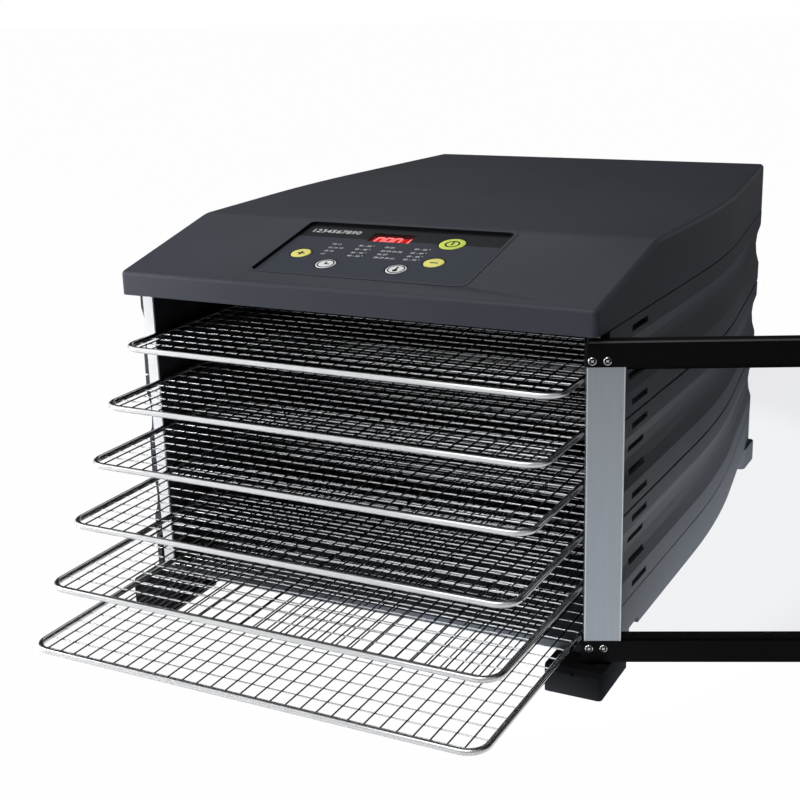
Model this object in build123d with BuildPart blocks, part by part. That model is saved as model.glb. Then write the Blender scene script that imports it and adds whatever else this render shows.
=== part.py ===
from build123d import *
import os
from math import cos, radians, sin

# Cabinet food dehydrator with six pull-out wire trays, a hinged glass door and a rear fan.
# Millimetres, floor at z = 0, front towards -Y. The door stands open and the trays are staggered.

os.makedirs("parts", exist_ok=True)

# Overall heights and depth
DEPTH = 460.0
FRONT = -DEPTH / 2
HOOD_TOP = 258.2
FASCIA_TOP = 235.9
SEAMS = (220.4, 159.8, 99.9, 41.8)
SEAM_A = SEAMS[0]
SEAM_D = SEAMS[-1]
SKIRT_BOTTOM = 17.3

# Plan of the bulging side at the hood seam: distance behind the fascia, half width
SIDE_START = (0.0, 164.6)
SIDE_BULGE = (258.0, 172.0)
SIDE_END = (460.0, 148.0)
SIDE_ROUND = 900.0
SIDE_FLARE = 0.0225
FLARE_TURN = 290.0
WALL_FRONT = 20.0
WALL_BACK = 458.0
BAND_COVE = 3.2
BAND_BACKING = 4.8
COVE_TOP = 0.21
COVE_BOTTOM = 0.75
COVE_STEPS = 4
REVEAL = 0.8
REVEAL_DEEP = 2.5
COVER_THICK = 3.0
COVER_CLEAR = 0.2
SLOT_LENGTH = 28.0
SLOT_HEIGHT = 4.0
SLOT_BEHIND = 71.0
SLOTS_PER_BAND = 4
HOOD_WALL = 3.0
SLOPE_WALL = 5.0
LIP = 3.5

# Drying chamber
FOOT_WIDTH = 36.4
FOOT_LENGTH = 49.6
FOOT_HEIGHT = 17.0
FOOT_X = 153.8
FOOT_BEHIND = 18.2
FOOT_ROUND = 2.5
FOOT_CHAMFER = 3.0
FOOT_PAD = (28.0, 22.0)
FOOT_PAD_BEHIND = 31.5
FOOT_GROOVE = 2.8
FOOT_GROOVE_DEEP = 1.2
REAR_FOOT = 34.0
REAR_PAD = 22.0
REAR_FOOT_X = 134.0
REAR_FOOT_BEHIND = 440.0
NOTCH_BEHIND = 61.5
NOTCH_LENGTH = 17.0
NOTCH_HEIGHT = 4.2
LINER_INNER = 153.2
LINER_WALL = 2.0
CHAMBER_FRONT = 18.0
CHAMBER_BACK = 350.0
FLOOR_TOP = 22.0
FLOOR_THICK = 3.5
SKIRT_WALL = 3.0
CEILING = 218.0
JAMB_FACE = 16.5
JAMB_INNER = 152.8
JAMB_OUTER = 160.5

# Wire trays
TRAY_WIDTH = 300.0
TRAY_DEPTH = 322.0
TRAY_CORNER = 12.0
BEND_STEPS = 3
ROD_SIDES = 8
ROD = 4.0
WIRE = 1.4
LONG_PITCH = 10.0
LONG_COUNT = 29
CROSS_PITCH = 12.5
CROSS_COUNT = 26
CROSS_FIRST = 4.0
LAYER_GAP = 0.02
TRAY_TOP_Z = 190.4
TRAY_PITCH = 32.45
TRAY_FRONTS = (-21.3, -45.6, -65.6, -88.3, -112.8, -132.3)
RUNNER_CLEAR = 0.3
RUNNER_THICK = 3.0
RUNNER_INNER = 146.5

# Door, worked out about its hinge pins and swung to its open rest angle
HINGE_X = 158.0
HINGE_BEHIND = 8.5
DOOR_OPEN = 204.0
DOOR_THICK = 9.0
DOOR_HEEL = 3.5
DOOR_REACH = 319.5
DOOR_BOTTOM = 18.6
DOOR_TOP = 216.8
RAIL_TOP_HEIGHT = 14.8
RAIL_BOTTOM_HEIGHT = 13.8
STILE_WIDTH = 21.8
GLASS_THICK = 4.0
GLASS_SEAT = 6.0
PIN = 5.0
PIN_FIT = 0.1

# Control panel on the sloping front of the hood: across, up the slope
PANEL_WIDTH = 150.0
PANEL_HEIGHT = 83.0
PANEL_UP = 60.2
PANEL_RECESS = 1.8
PANEL_THICK = 1.2
PANEL_LEDGE = 6.0
BOARD_POST = 5.0
BUTTONS = {
    "power": (39.1, 81.9, 18.0),
    "plus": (-56.4, 52.5, 14.0),
    "minus": (40.1, 51.6, 14.0),
    "time": (-30.2, 38.8, 14.0),
    "temperature": (20.3, 38.4, 14.0),
}
DISPLAY = (-6.4, 85.4, 30.6, 13.2)

# Fan at the back
FAN_Z = 120.0
FAN_RADIUS = 68.0
BLADES = 7
SHAFT = 6.0
HEATER_RADIUS = 82.0
ROUND_SIDES = 24
HUB_RADIUS = 18.0
MOTOR_RADIUS = 34.0

SLOPE_ANGLE = 12.15
SLOPE = Plane(
    origin=(0, FRONT, FASCIA_TOP),
    x_dir=(1, 0, 0),
    z_dir=(0, -sin(radians(SLOPE_ANGLE)), cos(radians(SLOPE_ANGLE))),
)
DOOR = Plane(
    origin=(HINGE_X, FRONT + HINGE_BEHIND, 0),
    x_dir=(-cos(radians(DOOR_OPEN)), -sin(radians(DOOR_OPEN)), 0),
    z_dir=(0, 0, 1),
)


def save(builder, name):
    """Label a finished piece and write it out under its node name."""
    builder.part.label = name
    export_step(builder.part, f"parts/{name}.step")


def side_corners(height, extra, first, last, side):
    """Plan corners of one bulging side at a height, between two distances behind the fascia."""
    drop = max(SEAM_A - height, 0)
    corners = []
    for stop in (first, SIDE_BULGE[0], last):
        (d0, w0), (d1, w1) = (SIDE_BULGE, SIDE_END) if stop > SIDE_BULGE[0] else (SIDE_START, SIDE_BULGE)
        width = w0 + (w1 - w0) * (stop - d0) / (d1 - d0)
        flare = SIDE_FLARE * drop * (1 - stop / FLARE_TURN)
        corners.append((side * (width + flare + extra), FRONT + stop))
    return corners


def cabinet_plan(height, extra, first, last):
    """Closed plan between the two bulging sides, inside a builder line."""
    right = FilletPolyline(*side_corners(height, extra, first, last, 1), radius=SIDE_ROUND)
    left = FilletPolyline(*side_corners(height, extra, first, last, -1), radius=SIDE_ROUND)
    Line(right @ 0, left @ 0)
    Line(right @ 1, left @ 1)


def wall_plan(height, outer, inner):
    """Closed plan of the right side wall between two insets, inside a builder line."""
    outside = FilletPolyline(*side_corners(height, -outer, WALL_FRONT, WALL_BACK, 1), radius=SIDE_ROUND)
    inside = FilletPolyline(*side_corners(height, -inner, WALL_FRONT, WALL_BACK, 1), radius=SIDE_ROUND)
    Line(outside @ 0, inside @ 0)
    Line(outside @ 1, inside @ 1)


def rod_bends(front_y, rear_y):
    """Corner points of a tray's rod line, which bends round each corner in equal steps."""
    side_x = TRAY_WIDTH / 2 - TRAY_CORNER
    back_y = rear_y - TRAY_CORNER
    near_y = front_y + TRAY_CORNER
    centres = ((side_x, back_y), (-side_x, back_y), (-side_x, near_y), (side_x, near_y))
    points = []
    for quarter, (x, y) in enumerate(centres):
        for step in range(BEND_STEPS + 1):
            turn = radians(90 * (quarter + step / BEND_STEPS))
            points.append((x + TRAY_CORNER * cos(turn), y + TRAY_CORNER * sin(turn)))
    return points


# Hood: sloping front, thin upright fascia, bulging sides, hollow below
with BuildPart() as hood_core:
    with BuildSketch(Plane.XY.offset(SEAM_A + LIP)):
        with BuildLine():
            cabinet_plan(SEAM_A, -HOOD_WALL, HOOD_WALL, DEPTH - HOOD_WALL)
        make_face()
    extrude(amount=HOOD_TOP - HOOD_WALL - SEAM_A - LIP)
    with BuildSketch(Plane.XY.offset(SEAM_A - 1)):
        with BuildLine():
            cabinet_plan(SEAM_A, -HOOD_WALL, HOOD_WALL, DEPTH - HOOD_WALL)
        make_face()
        with Locations((0, FRONT)):
            Rectangle(2 * DEPTH, 2 * WALL_FRONT, mode=Mode.SUBTRACT)
    extrude(amount=LIP + 1)
    with BuildSketch(SLOPE.offset(-SLOPE_WALL)):
        with Locations((0, 60)):
            Rectangle(2 * DEPTH, 400)
    extrude(amount=80, mode=Mode.SUBTRACT)

with BuildPart() as hood:
    with BuildSketch(Plane.XY.offset(SEAM_A)):
        with BuildLine():
            cabinet_plan(SEAM_A, 0, 0, DEPTH)
        make_face()
    extrude(amount=HOOD_TOP - SEAM_A)
    with BuildSketch(SLOPE):
        with Locations((0, 60)):
            Rectangle(2 * DEPTH, 400)
    extrude(amount=80, mode=Mode.SUBTRACT)
    upper = hood.edges().filter_by(lambda e: e.center().Z > SEAM_A + 0.5)
    fillet(upper.filter_by(Axis.Z), radius=4.0)
    crease = hood.edges().filter_by(Axis.X).filter_by_position(Axis.Y, FRONT + 60, FRONT + 140)
    fillet(crease.sort_by(Axis.Z)[-1:], radius=40.0)
    soft = hood.edges().filter_by(lambda e: e.center().Z > FASCIA_TOP - 1)
    fillet(soft.filter_by(lambda e: not e.is_closed and e.bounding_box().size.Z < 30), radius=3.0)
    add(hood_core.part, mode=Mode.SUBTRACT)
    with BuildSketch(Plane.XY.offset(SEAM_A + LIP)):
        with Locations((HINGE_X, FRONT + HINGE_BEHIND)):
            Circle(5.0)
    extrude(amount=10)
    with BuildSketch(Plane.XY.offset(SEAM_A)):
        with Locations((HINGE_X, FRONT + HINGE_BEHIND)):
            Circle((PIN + PIN_FIT) / 2)
    extrude(amount=10.5, mode=Mode.SUBTRACT)
    with BuildSketch(SLOPE):
        with Locations((0, PANEL_UP)):
            RectangleRounded(PANEL_WIDTH, PANEL_HEIGHT, 4)
    extrude(amount=-(PANEL_RECESS + PANEL_THICK), mode=Mode.SUBTRACT)
    with BuildSketch(SLOPE):
        with Locations((0, PANEL_UP)):
            Rectangle(PANEL_WIDTH - 2 * PANEL_LEDGE, PANEL_HEIGHT - 2 * PANEL_LEDGE)
    extrude(amount=-8, mode=Mode.SUBTRACT)
    with BuildSketch(SLOPE.offset(-SLOPE_WALL)):
        with Locations((0, PANEL_UP)):
            with GridLocations(PANEL_WIDTH - PANEL_LEDGE, PANEL_HEIGHT / 2, 2, 2):
                Rectangle(BOARD_POST, BOARD_POST)
    extrude(amount=-7)
save(hood, "hood")

# Stacked side bands: each one has a shallow cove between two flat ridges, a narrow shadow groove
# along both edges, and four air slots
for band_name, top_z, low_z in zip(("top", "middle", "bottom"), SEAMS, SEAMS[1:]):
    band_height = top_z - low_z
    with BuildPart() as band:
        cove = [COVE_TOP + (COVE_BOTTOM - COVE_TOP) * step / COVE_STEPS for step in range(COVE_STEPS + 1)]
        for down in (REVEAL / band_height, *cove, 1 - REVEAL / band_height):
            across = (down - COVE_TOP) / (COVE_BOTTOM - COVE_TOP)
            dip = BAND_COVE * max(1 - (2 * across - 1) ** 2, 0)
            height = top_z - band_height * down
            with BuildSketch(Plane.XY.offset(height)):
                with BuildLine():
                    wall_plan(height, dip, BAND_BACKING)
                make_face()
        loft(ruled=True)
        for edge in (top_z - REVEAL, low_z):
            with BuildSketch(Plane.XY.offset(edge)):
                with BuildLine():
                    wall_plan(edge, REVEAL_DEEP, BAND_BACKING)
                make_face()
            extrude(amount=REVEAL)
        with Locations((SIDE_START[1], FRONT + SLOT_BEHIND, (top_z + low_z) / 2)):
            for step in range(SLOTS_PER_BAND):
                rise = (step - (SLOTS_PER_BAND - 1) / 2) * band_height / SLOTS_PER_BAND
                with Locations((0, 0, rise)):
                    Box(40, SLOT_LENGTH, SLOT_HEIGHT, mode=Mode.SUBTRACT)
    save(band, f"side_band_right_{band_name}")
    with BuildPart() as band_left:
        mirror(band.part, about=Plane.YZ)
    save(band_left, f"side_band_left_{band_name}")

# Feet: broad front blocks that also carry the lower door pin, plain blocks at the back
FLOOR_UNDER = FLOOR_TOP - FLOOR_THICK
for side, side_name in ((1, "right"), (-1, "left")):
    with BuildPart() as front_foot:
        with Locations((side * FOOT_X, FRONT + FOOT_BEHIND, 0)):
            Box(FOOT_WIDTH, FOOT_LENGTH, FOOT_HEIGHT, align=(Align.CENTER, Align.CENTER, Align.MIN))
        chamfer(front_foot.faces().sort_by(Axis.Z)[-1].edges().sort_by(Axis.Y)[:1], length=FOOT_CHAMFER)
        fillet(front_foot.edges().filter_by(Axis.Z), radius=FOOT_ROUND)
        face_y = FRONT + FOOT_BEHIND - FOOT_LENGTH / 2
        with BuildSketch(Plane.XZ.offset(-face_y)):
            with Locations((side * FOOT_X, FOOT_HEIGHT - FOOT_CHAMFER)):
                Triangle(a=FOOT_GROOVE, B=60, C=60, rotation=180)
        extrude(amount=-FOOT_GROOVE_DEEP, mode=Mode.SUBTRACT)
        with Locations((side * (FOOT_X - 3), FRONT + FOOT_PAD_BEHIND, FOOT_HEIGHT)):
            Box(*FOOT_PAD, FLOOR_UNDER - FOOT_HEIGHT, align=(Align.CENTER, Align.CENTER, Align.MIN))
        if side_name == "right":
            with Locations((HINGE_X, FRONT + HINGE_BEHIND, 5)):
                Cylinder(
                    (PIN + PIN_FIT) / 2, FOOT_HEIGHT,
                    align=(Align.CENTER, Align.CENTER, Align.MIN), mode=Mode.SUBTRACT,
                )
    save(front_foot, f"foot_front_{side_name}")
    with BuildPart() as rear_foot:
        with Locations((side * REAR_FOOT_X, FRONT + REAR_FOOT_BEHIND, 0)):
            Box(REAR_FOOT, REAR_FOOT, SKIRT_BOTTOM, align=(Align.CENTER, Align.CENTER, Align.MIN))
        chamfer(rear_foot.edges().filter_by(Axis.Z), length=FOOT_ROUND)
        with Locations((side * (REAR_FOOT_X - 4), FRONT + REAR_FOOT_BEHIND, SKIRT_BOTTOM)):
            Box(REAR_PAD, REAR_PAD, FLOOR_UNDER - SKIRT_BOTTOM, align=(Align.CENTER, Align.CENTER, Align.MIN))
    save(rear_foot, f"foot_rear_{side_name}")

# Base: chamber floor inside a skirt that follows the bulging plan, with a notch behind each front foot
with BuildPart() as base:
    with BuildSketch(Plane.XY.offset(FLOOR_UNDER)):
        with BuildLine():
            cabinet_plan(SEAM_D, 0, WALL_FRONT, WALL_BACK)
        make_face()
    extrude(amount=FLOOR_THICK)
    with BuildSketch(Plane.XY.offset(SKIRT_BOTTOM)):
        with BuildLine():
            cabinet_plan(SEAM_D, 0, WALL_FRONT, WALL_BACK)
        make_face()
        with BuildLine():
            cabinet_plan(SEAM_D, -SKIRT_WALL, WALL_FRONT - 5, WALL_BACK - SKIRT_WALL)
        make_face(mode=Mode.SUBTRACT)
    extrude(amount=SEAM_D - SKIRT_BOTTOM)
    with Locations((0, FRONT + JAMB_FACE, SKIRT_BOTTOM)):
        Box(2 * JAMB_OUTER, 3.5, FLOOR_TOP - SKIRT_BOTTOM, align=(Align.CENTER, Align.MIN, Align.MIN))
    with Locations((0, FRONT + NOTCH_BEHIND, SKIRT_BOTTOM)):
        with GridLocations(2 * SIDE_BULGE[1], 1, 2, 1):
            Box(
                2 * BAND_BACKING, NOTCH_LENGTH, NOTCH_HEIGHT,
                align=(Align.CENTER, Align.CENTER, Align.MIN), mode=Mode.SUBTRACT,
            )
save(base, "base")

# Back cover between the side bands, with a field of upright air slots
with BuildPart() as rear_cover:
    cover_low, cover_high = (
        side_corners(height, -BAND_BACKING - COVER_CLEAR, WALL_FRONT, WALL_BACK, 1)[-1][0]
        for height in (SEAM_D, SEAM_A)
    )
    with BuildSketch(Plane.XZ.offset(COVER_THICK - WALL_BACK - FRONT)):
        with BuildLine():
            Polyline(
                (-cover_low, SEAM_D), (cover_low, SEAM_D), (cover_high, SEAM_A), (-cover_high, SEAM_A),
                close=True,
            )
        make_face()
        with Locations((0, FAN_Z + 10)):
            with GridLocations(18, 62, 11, 2):
                Rectangle(7, 50, mode=Mode.SUBTRACT)
    extrude(amount=-COVER_THICK)
save(rear_cover, "rear_cover")

# Silver strips on the front edges of the chamber walls, inner liners and the tray runners
for side, side_name in ((1, "right"), (-1, "left")):
    with BuildPart() as jamb:
        with Locations((side * (JAMB_INNER + JAMB_OUTER) / 2, FRONT + JAMB_FACE, FLOOR_TOP)):
            Box(
                JAMB_OUTER - JAMB_INNER, CHAMBER_FRONT - JAMB_FACE, CEILING - FLOOR_TOP,
                align=(Align.CENTER, Align.MIN, Align.MIN),
            )
    save(jamb, f"jamb_strip_{side_name}")
    with BuildPart() as liner:
        with Locations((side * (LINER_INNER + LINER_WALL / 2), FRONT + CHAMBER_FRONT, FLOOR_TOP)):
            Box(
                LINER_WALL, CHAMBER_BACK - CHAMBER_FRONT, CEILING - FLOOR_TOP,
                align=(Align.CENTER, Align.MIN, Align.MIN),
            )
    save(liner, f"liner_{side_name}")
    with BuildPart() as runners:
        for number in range(len(TRAY_FRONTS)):
            shelf = TRAY_TOP_Z - number * TRAY_PITCH - ROD / 2 - RUNNER_CLEAR
            with Locations((side * (RUNNER_INNER + LINER_INNER) / 2, FRONT + 20, shelf)):
                Box(
                    LINER_INNER - RUNNER_INNER, 328, RUNNER_THICK,
                    align=(Align.CENTER, Align.MIN, Align.MAX),
                )
    save(runners, f"runners_{side_name}")

# Chamber ceiling and the slotted wall in front of the fan
with BuildPart() as ceiling:
    with Locations((0, FRONT + CHAMBER_FRONT, CEILING)):
        Box(
            2 * (LINER_INNER + LINER_WALL), CHAMBER_BACK - CHAMBER_FRONT, 2,
            align=(Align.CENTER, Align.MIN, Align.MIN),
        )
save(ceiling, "chamber_ceiling")

with BuildPart() as baffle:
    with Locations((0, FRONT + CHAMBER_BACK, FLOOR_TOP)):
        Box(
            2 * LINER_INNER + LINER_WALL, 2.5, CEILING + 2 - FLOOR_TOP,
            align=(Align.CENTER, Align.MIN, Align.MIN),
        )
    with BuildSketch(Plane.XZ.offset(-(FRONT + CHAMBER_BACK - 2))):
        with Locations((0, FAN_Z)):
            for ring, count in ((26, 6), (44, 10), (62, 14)):
                with PolarLocations(ring, count):
                    Rectangle(14, 8)
    extrude(amount=-8, mode=Mode.SUBTRACT)
save(baffle, "fan_baffle")

# Fan, its motor, and the ring heater between the fan and the slotted wall
with BuildPart() as motor:
    with BuildSketch(Plane.XZ.offset(-(FRONT + 405))):
        with Locations((0, FAN_Z)):
            RegularPolygon(MOTOR_RADIUS, ROUND_SIDES)
    extrude(amount=-46)
    with BuildSketch(Plane.XZ.offset(-(FRONT + 404))):
        with Locations((0, FAN_Z)):
            Circle((SHAFT + PIN_FIT) / 2)
    extrude(amount=-30, mode=Mode.SUBTRACT)
save(motor, "fan_motor")

with BuildPart() as motor_bracket:
    with BuildSketch(Plane.XZ.offset(-(FRONT + 451))):
        with Locations((0, FAN_Z)):
            Rectangle(120, 60)
    extrude(amount=-4)
save(motor_bracket, "motor_bracket")

with BuildPart() as rotor:
    with BuildSketch(Plane.XZ.offset(-(FRONT + 374))):
        with Locations((0, FAN_Z)):
            RegularPolygon(HUB_RADIUS, 2 * BLADES)
    extrude(amount=-18)
    for blade in range(BLADES):
        turn = 360.0 / BLADES * blade
        hub = Location((0, FRONT + 383, FAN_Z)) * Location((0, 0, 0), (0, turn, 0))
        with Locations(hub * Location((41, 0, 0), (32, 0, 0))):
            Box(54, 1.6, 26)
    with BuildSketch(Plane.XZ.offset(-(FRONT + 391))):
        with Locations((0, FAN_Z)):
            Circle(SHAFT / 2)
    extrude(amount=-38)
save(rotor, "fan_rotor")

with BuildPart() as heater:
    with BuildSketch(Plane.XZ.offset(-(FRONT + 358.8))):
        with Locations((0, FAN_Z)):
            RegularPolygon(HEATER_RADIUS + 3.2, ROUND_SIDES)
            RegularPolygon(HEATER_RADIUS - 3.2, ROUND_SIDES, mode=Mode.SUBTRACT)
    extrude(amount=-6.4)
    for turn in (20, 140, 260):
        x = HEATER_RADIUS * cos(radians(turn))
        z = -HEATER_RADIUS * sin(radians(turn))
        with Locations((x, FRONT + 356.5, FAN_Z + z)):
            Box(6, 8, 6)
save(heater, "heater_ring")

# Control panel: printed plate, display behind its window, board and five buttons
with BuildPart() as panel:
    with BuildSketch(SLOPE.offset(-(PANEL_RECESS + PANEL_THICK))):
        with Locations((0, PANEL_UP)):
            RectangleRounded(PANEL_WIDTH - 0.4, PANEL_HEIGHT - 0.4, 3.8)
        for across, up, width in BUTTONS.values():
            with Locations((across, up)):
                RegularPolygon(width / 2, ROUND_SIDES, mode=Mode.SUBTRACT)
        with Locations(DISPLAY[:2]):
            Rectangle(DISPLAY[2], DISPLAY[3], mode=Mode.SUBTRACT)
    extrude(amount=PANEL_THICK)
save(panel, "control_panel")

with BuildPart() as window:
    with BuildSketch(SLOPE.offset(-(PANEL_RECESS + PANEL_THICK))):
        with Locations(DISPLAY[:2]):
            Rectangle(DISPLAY[2], DISPLAY[3])
    extrude(amount=0.8)
save(window, "display_window")

with BuildPart() as board:
    with BuildSketch(SLOPE.offset(-(SLOPE_WALL + 8.6))):
        with Locations((0, PANEL_UP)):
            Rectangle(PANEL_WIDTH, PANEL_HEIGHT - 20)
    extrude(amount=1.6)
    with BuildSketch(SLOPE.offset(-(SLOPE_WALL + 7))):
        for across, up, width in BUTTONS.values():
            with Locations((across, up)):
                Rectangle(6, 6)
    extrude(amount=2.4)
save(board, "control_board")

with BuildPart() as digits:
    with BuildSketch(SLOPE.offset(-(SLOPE_WALL + 7))):
        with Locations(DISPLAY[:2]):
            Rectangle(DISPLAY[2] + 2, DISPLAY[3] + 1)
    extrude(amount=7)
save(digits, "display_module")

for button_name, (across, up, width) in BUTTONS.items():
    with BuildPart() as button:
        with BuildSketch(SLOPE.offset(-(PANEL_RECESS + PANEL_THICK + 1.4))):
            with Locations((across, up)):
                RegularPolygon(width / 2 + 0.8, 8)
        extrude(amount=1.0)
        with BuildSketch(SLOPE.offset(-(PANEL_RECESS + PANEL_THICK + 0.5))):
            with Locations((across, up)):
                RegularPolygon(width / 2 - 0.3, ROUND_SIDES)
        extrude(amount=PANEL_THICK + 0.6)
        with BuildSketch(SLOPE.offset(-8.8)):
            with Locations((across, up)):
                Rectangle(4, 4)
        extrude(amount=5.0)
    save(button, f"button_{button_name}")

# Wire trays: a round rod frame and a welded grid of two crossing layers of wire
for number, pulled in enumerate(TRAY_FRONTS, start=1):
    tray_z = TRAY_TOP_Z - (number - 1) * TRAY_PITCH
    front_y = FRONT + pulled
    rear_y = front_y + TRAY_DEPTH
    with BuildPart() as tray_frame:
        with BuildLine(Plane.XY.offset(tray_z)) as rod_line:
            Polyline(*rod_bends(front_y, rear_y), close=True)
        with BuildSketch(Plane(origin=rod_line.line @ 0, z_dir=rod_line.line % 0)):
            RegularPolygon(ROD / 2, ROD_SIDES, major_radius=False, rotation=180 / ROD_SIDES)
        sweep(path=rod_line.line, transition=Transition.RIGHT)
    save(tray_frame, f"tray_{number}_frame")
    with BuildPart() as tray_mesh:
        with Locations((0, (front_y + rear_y) / 2, tray_z + LAYER_GAP / 2)):
            with GridLocations(LONG_PITCH, 1, LONG_COUNT - 2, 1):
                Box(WIRE, TRAY_DEPTH - ROD, WIRE, align=(Align.CENTER, Align.CENTER, Align.MIN))
            with GridLocations(LONG_PITCH * (LONG_COUNT - 1), 1, 2, 1):
                Box(WIRE, TRAY_DEPTH - ROD - 2, WIRE, align=(Align.CENTER, Align.CENTER, Align.MIN))
        mid_cross = front_y + CROSS_FIRST + CROSS_PITCH * (CROSS_COUNT - 1) / 2
        with Locations((0, mid_cross, tray_z - LAYER_GAP / 2)):
            with GridLocations(1, CROSS_PITCH, 1, CROSS_COUNT - 2):
                Box(TRAY_WIDTH - ROD, WIRE, WIRE, align=(Align.CENTER, Align.CENTER, Align.MAX))
            with GridLocations(1, CROSS_PITCH * (CROSS_COUNT - 1), 1, 2):
                Box(TRAY_WIDTH - 15, WIRE, WIRE, align=(Align.CENTER, Align.CENTER, Align.MAX))
    save(tray_mesh, f"tray_{number}_mesh")

# Door: two rails, two stiles, glass, pull handle and the hinge pins
STILE_LOW = DOOR_BOTTOM + RAIL_BOTTOM_HEIGHT
STILE_HIGH = DOOR_TOP - RAIL_TOP_HEIGHT
MIDDLE = (DOOR_REACH - DOOR_HEEL) / 2
GLASS_NEAR = -DOOR_HEEL + 1 + STILE_WIDTH - GLASS_SEAT
GLASS_FAR = DOOR_REACH - STILE_WIDTH + GLASS_SEAT
GLASS_LOW = STILE_LOW - GLASS_SEAT
GLASS_HIGH = STILE_HIGH + GLASS_SEAT

with BuildPart() as glass:
    with BuildSketch(DOOR.offset(GLASS_LOW)):
        with Locations(((GLASS_NEAR + GLASS_FAR) / 2, 0)):
            Rectangle(GLASS_FAR - GLASS_NEAR, GLASS_THICK)
    extrude(amount=GLASS_HIGH - GLASS_LOW)
save(glass, "door_glass")

for rail_name, low, high, pin_low, pin_high in (
    ("top", STILE_HIGH, DOOR_TOP, DOOR_TOP - 10, DOOR_TOP + 13),
    ("bottom", DOOR_BOTTOM, STILE_LOW, DOOR_BOTTOM - 12.6, DOOR_BOTTOM + 9.4),
):
    with BuildPart() as rail:
        with BuildSketch(DOOR.offset(low)):
            with Locations((MIDDLE, 0)):
                Rectangle(DOOR_REACH + DOOR_HEEL, DOOR_THICK)
        extrude(amount=high - low)
        chamfer(rail.edges().filter_by(Axis.Z), length=1.2)
        with BuildSketch(DOOR.offset(GLASS_LOW)):
            with Locations(((GLASS_NEAR + GLASS_FAR) / 2, 0)):
                Rectangle(GLASS_FAR - GLASS_NEAR, GLASS_THICK)
        extrude(amount=GLASS_HIGH - GLASS_LOW, mode=Mode.SUBTRACT)
        with BuildSketch(DOOR.offset(pin_low)):
            Circle(PIN / 2)
        extrude(amount=pin_high - pin_low, mode=Mode.SUBTRACT)
    save(rail, f"door_rail_{rail_name}")
    with BuildPart() as pin:
        with BuildSketch(DOOR.offset(pin_low)):
            Circle(PIN / 2)
        extrude(amount=pin_high - pin_low)
    save(pin, f"door_pin_{rail_name}")

for stile_name, near in (("hinge", -DOOR_HEEL + 1), ("handle", DOOR_REACH - STILE_WIDTH)):
    with BuildPart() as stile:
        with BuildSketch(DOOR.offset(STILE_LOW)):
            with Locations((near + STILE_WIDTH / 2, 0)):
                Rectangle(STILE_WIDTH, DOOR_THICK - 0.6)
            with Locations(((GLASS_NEAR + GLASS_FAR) / 2, 0)):
                Rectangle(GLASS_FAR - GLASS_NEAR, GLASS_THICK, mode=Mode.SUBTRACT)
        extrude(amount=STILE_HIGH - STILE_LOW)
    save(stile, f"door_stile_{stile_name}")

with BuildPart() as handle:
    grip = DOOR_REACH - STILE_WIDTH / 2
    stand = DOOR_THICK / 2 - 0.3
    with BuildSketch(DOOR.offset(72)):
        with Locations((grip, stand + 24)):
            Circle(5)
    extrude(amount=92)
    for post in (84, 152):
        with BuildSketch(Plane(origin=DOOR.from_local_coords((grip, stand, post)), z_dir=DOOR.y_dir)):
            Circle(3.5)
        extrude(amount=24)
save(handle, "door_handle")
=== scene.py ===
import logging
from dataclasses import dataclass
from enum import Enum
from math import cos, pi, radians, sin
from typing import Any, Iterable, Sequence, Union

import bmesh
import bpy
from mathutils import Matrix, Vector


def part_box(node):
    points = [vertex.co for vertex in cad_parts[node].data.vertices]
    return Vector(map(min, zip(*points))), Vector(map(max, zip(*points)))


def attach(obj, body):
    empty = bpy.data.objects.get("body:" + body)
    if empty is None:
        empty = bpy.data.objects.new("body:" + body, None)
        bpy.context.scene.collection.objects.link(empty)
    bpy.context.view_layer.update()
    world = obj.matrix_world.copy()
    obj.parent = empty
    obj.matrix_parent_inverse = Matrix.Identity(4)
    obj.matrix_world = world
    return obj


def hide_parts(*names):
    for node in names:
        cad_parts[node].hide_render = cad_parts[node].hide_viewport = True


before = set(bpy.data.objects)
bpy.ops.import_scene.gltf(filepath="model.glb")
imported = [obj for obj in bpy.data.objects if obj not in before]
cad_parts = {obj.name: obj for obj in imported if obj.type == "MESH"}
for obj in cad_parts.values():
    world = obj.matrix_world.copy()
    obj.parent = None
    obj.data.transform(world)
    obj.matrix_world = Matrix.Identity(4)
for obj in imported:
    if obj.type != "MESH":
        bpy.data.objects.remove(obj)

log = logging.getLogger("food_dehydrator")

Colour = tuple[float, float, float]
Point = tuple[float, float, float]
Floats = tuple[float, ...]
Run = tuple[Vector, Vector]
Number = Union[float, "Value"]

MM = 0.001
ALL_WHITE: Colour = (1.0, 1.0, 1.0)
NO_LIGHT: Colour = (0.0, 0.0, 0.0)
UPRIGHT = Matrix.Identity(4)
FULL_TURN = 2 * pi

# The hood's front slope, and the middle of its lower edge.
HOOD_SLOPE = radians(12.15)
HOOD_EDGE: Point = (0.0, -0.230, 0.2359)

# Grain of moulded plastic: waves per metre, strength and depth.
GRAIN = 2600.0
GRAIN_STRENGTH = 0.012
GRAIN_DEPTH = 0.03 * MM

# Points closer than this are merged, in turned pieces and skins, and in bent rods.
WELD = 0.002 * MM
BEND_WELD = 0.01 * MM

# Printed numerals: height as a share of the font's size, thickness and added weight.
NUMERAL_SHARE = 0.7
NUMERAL_RISE = 0.04 * MM
NUMERAL_WEIGHT = 0.05 * MM


def mm(*sizes: float) -> Floats:
    """Floats in millimetres, turned into metres."""
    return tuple(size * MM for size in sizes)


def shade(colour: Colour, factor: float) -> Colour:
    """A colour made lighter or darker by a factor."""
    return (colour[0] * factor, colour[1] * factor, colour[2] * factor)


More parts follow.
